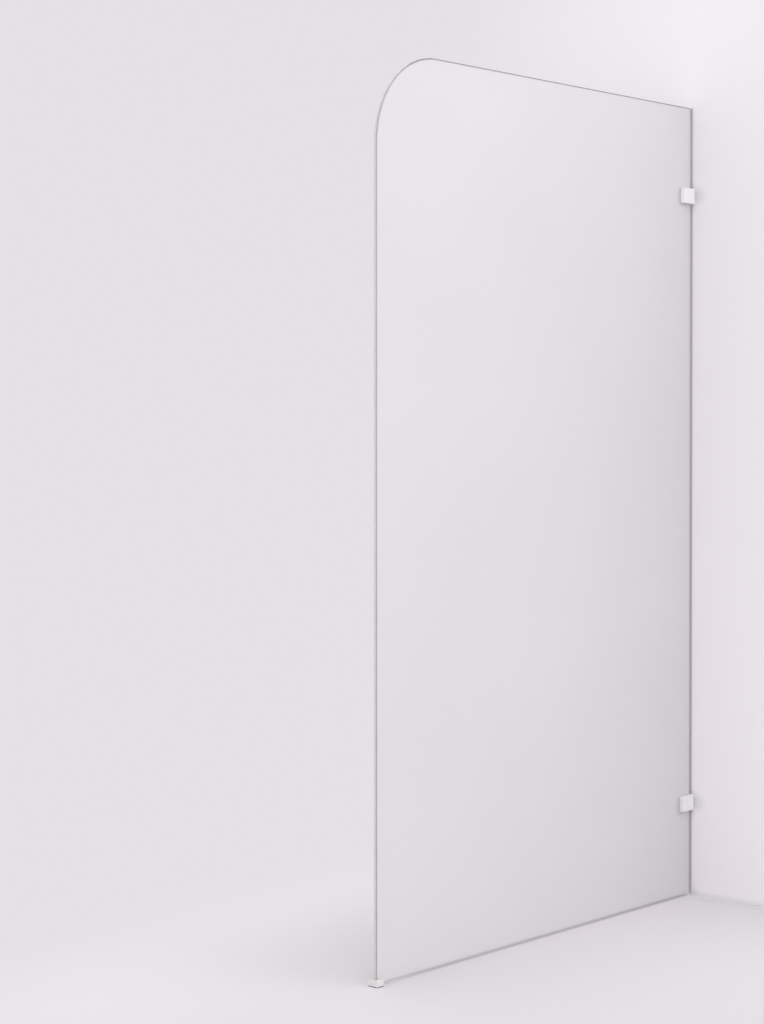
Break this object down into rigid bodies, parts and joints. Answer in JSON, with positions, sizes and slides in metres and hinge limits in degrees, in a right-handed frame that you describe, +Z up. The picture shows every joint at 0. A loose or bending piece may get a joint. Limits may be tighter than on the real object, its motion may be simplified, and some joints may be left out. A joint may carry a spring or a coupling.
{
  "type": "walk-in shower screen",
  "caption": "Fixed satin-glass shower screen with a rounded top corner, held by wall clamps and a floor clip.",
  "frame": {"origin": "on the floor, midway between the wall and the floor clip's closed end, in the middle plane of the glass", "axes": "+X along the glass towards the wall, +Y into the shower, +Z up"},
  "size_m": [1.202, 0.032, 2],
  "materials": {
    "satin_glass": "acid-etched satin, nearly opaque white",
    "white_paint": "matt white powder coat",
    "clear_gasket": "translucent",
    "nylon": "natural white nylon",
    "stainless": "turned stainless steel",
    "dark_rubber": "matt"
  },
  "bodies": {
    "root": {"glass_panel": "satin_glass", "upper_clamp_body": "white_paint", "upper_front_jaw": "white_paint", "upper_front_gasket": "clear_gasket", "upper_rear_gasket": "clear_gasket", "upper_glass_bush": "nylon", "upper_clamp_bolt": "stainless", "upper_edge_pad": "nylon", "lower_clamp_body": "white_paint", "lower_front_jaw": "white_paint", "lower_front_gasket": "clear_gasket", "lower_rear_gasket": "clear_gasket", "lower_glass_bush": "nylon", "lower_clamp_bolt": "stainless", "lower_edge_pad": "nylon", "floor_clip_body": "white_paint", "floor_setting_block": "nylon", "floor_end_pad": "nylon", "floor_front_gasket": "clear_gasket", "floor_rear_gasket": "clear_gasket", "floor_pressure_plate": "stainless", "floor_grub_screws": "stainless", "floor_pad": "dark_rubber"}
  },
  "joints": []
}
